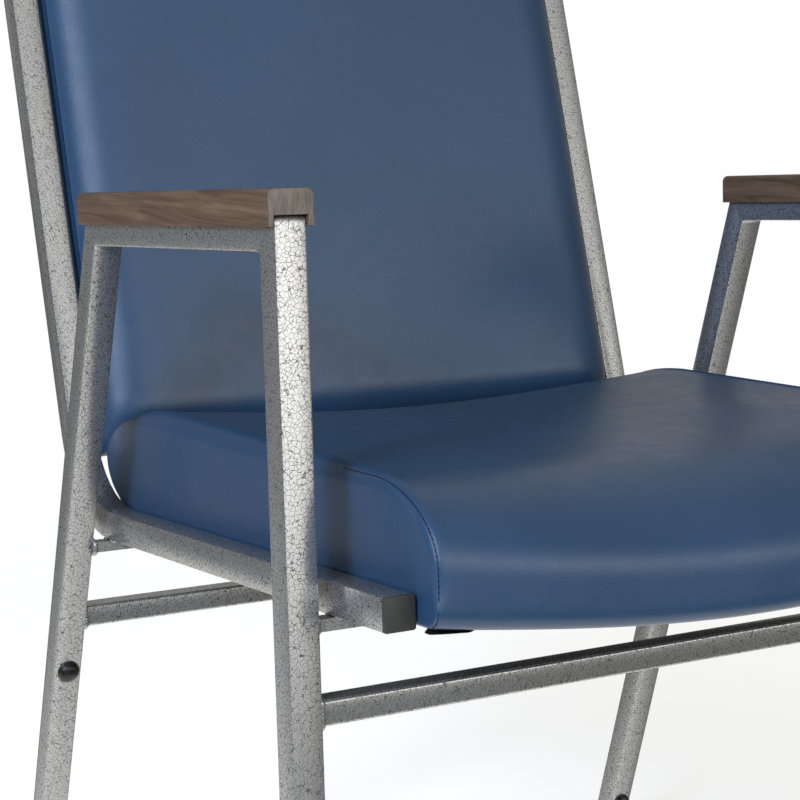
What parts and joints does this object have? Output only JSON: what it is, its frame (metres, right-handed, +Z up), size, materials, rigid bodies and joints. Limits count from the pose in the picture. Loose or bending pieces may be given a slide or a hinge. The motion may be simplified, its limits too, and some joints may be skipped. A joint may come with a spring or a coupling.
{
  "type": "arm chair",
  "caption": "Fixed-back waiting-room arm chair: square-tube steel arm frames, thick padded vinyl seat and back, grooved wooden arm pads.",
  "frame": {"origin": "on the floor, under the middle of the chair's bounding box; X = 0 is the chair's middle plane", "axes": "+Z up, the chair faces -Y, +X to the right when looking at the chair from the front"},
  "size_m": [0.6292, 0.7186, 0.9806],
  "materials": {
    "frame_finish": "silver vein powder coat: light silver-grey metallic with a fine dark crackle",
    "arm_wood": "walnut stain, satin lacquer, long grain, paler end grain",
    "black_plastic": "moulded dark grey plastic, satin",
    "bumper_rubber": "smooth black rubber, slightly glossy",
    "upholstery": "blue vinyl with a fine leather grain, semi-matt",
    "foam": "polyurethane foam",
    "plywood": "raw plywood",
    "dust_cloth": "black non-woven cloth",
    "screw_steel": "zinc-plated steel"
  },
  "bodies": {
    "root": {"arm_frame_left": "frame_finish", "arm_frame_right": "frame_finish", "seat_back_tube_left": "frame_finish", "seat_back_tube_right": "frame_finish", "front_stretcher": "frame_finish", "rear_stretcher": "frame_finish", "seat_bar_front": "frame_finish", "seat_bar_rear": "frame_finish", "back_tab_lower_left": "frame_finish", "back_tab_lower_right": "frame_finish", "back_tab_upper_left": "frame_finish", "back_tab_upper_right": "frame_finish", "arm_pad_left": "arm_wood", "arm_pad_right": "arm_wood", "rail_cap_left": "black_plastic", "rail_cap_right": "black_plastic", "upright_cap_left": "black_plastic", "upright_cap_right": "black_plastic", "glide_front_left": "black_plastic", "glide_front_right": "black_plastic", "glide_rear_left": "black_plastic", "glide_rear_right": "black_plastic", "stacking_bumper_upper_left": "bumper_rubber", "stacking_bumper_upper_right": "bumper_rubber", "stacking_bumper_lower_left": "bumper_rubber", "stacking_bumper_lower_right": "bumper_rubber", "seat_cover": "upholstery", "back_cover": "upholstery", "back_panel": "upholstery", "seat_foam": "foam", "back_foam": "foam", "seat_board": "plywood", "back_board": "plywood", "seat_dust_cover": "dust_cloth", "arm_pad_screw_left_front": "screw_steel", "arm_pad_screw_left_rear": "screw_steel", "arm_pad_screw_right_front": "screw_steel", "arm_pad_screw_right_rear": "screw_steel", "seat_screw_front_left": "screw_steel", "seat_screw_front_right": "screw_steel", "seat_screw_rear_left": "screw_steel", "seat_screw_rear_right": "screw_steel", "back_screw_lower_left": "screw_steel", "back_screw_lower_right": "screw_steel", "back_screw_upper_left": "screw_steel", "back_screw_upper_right": "screw_steel"}
  },
  "joints": []
}
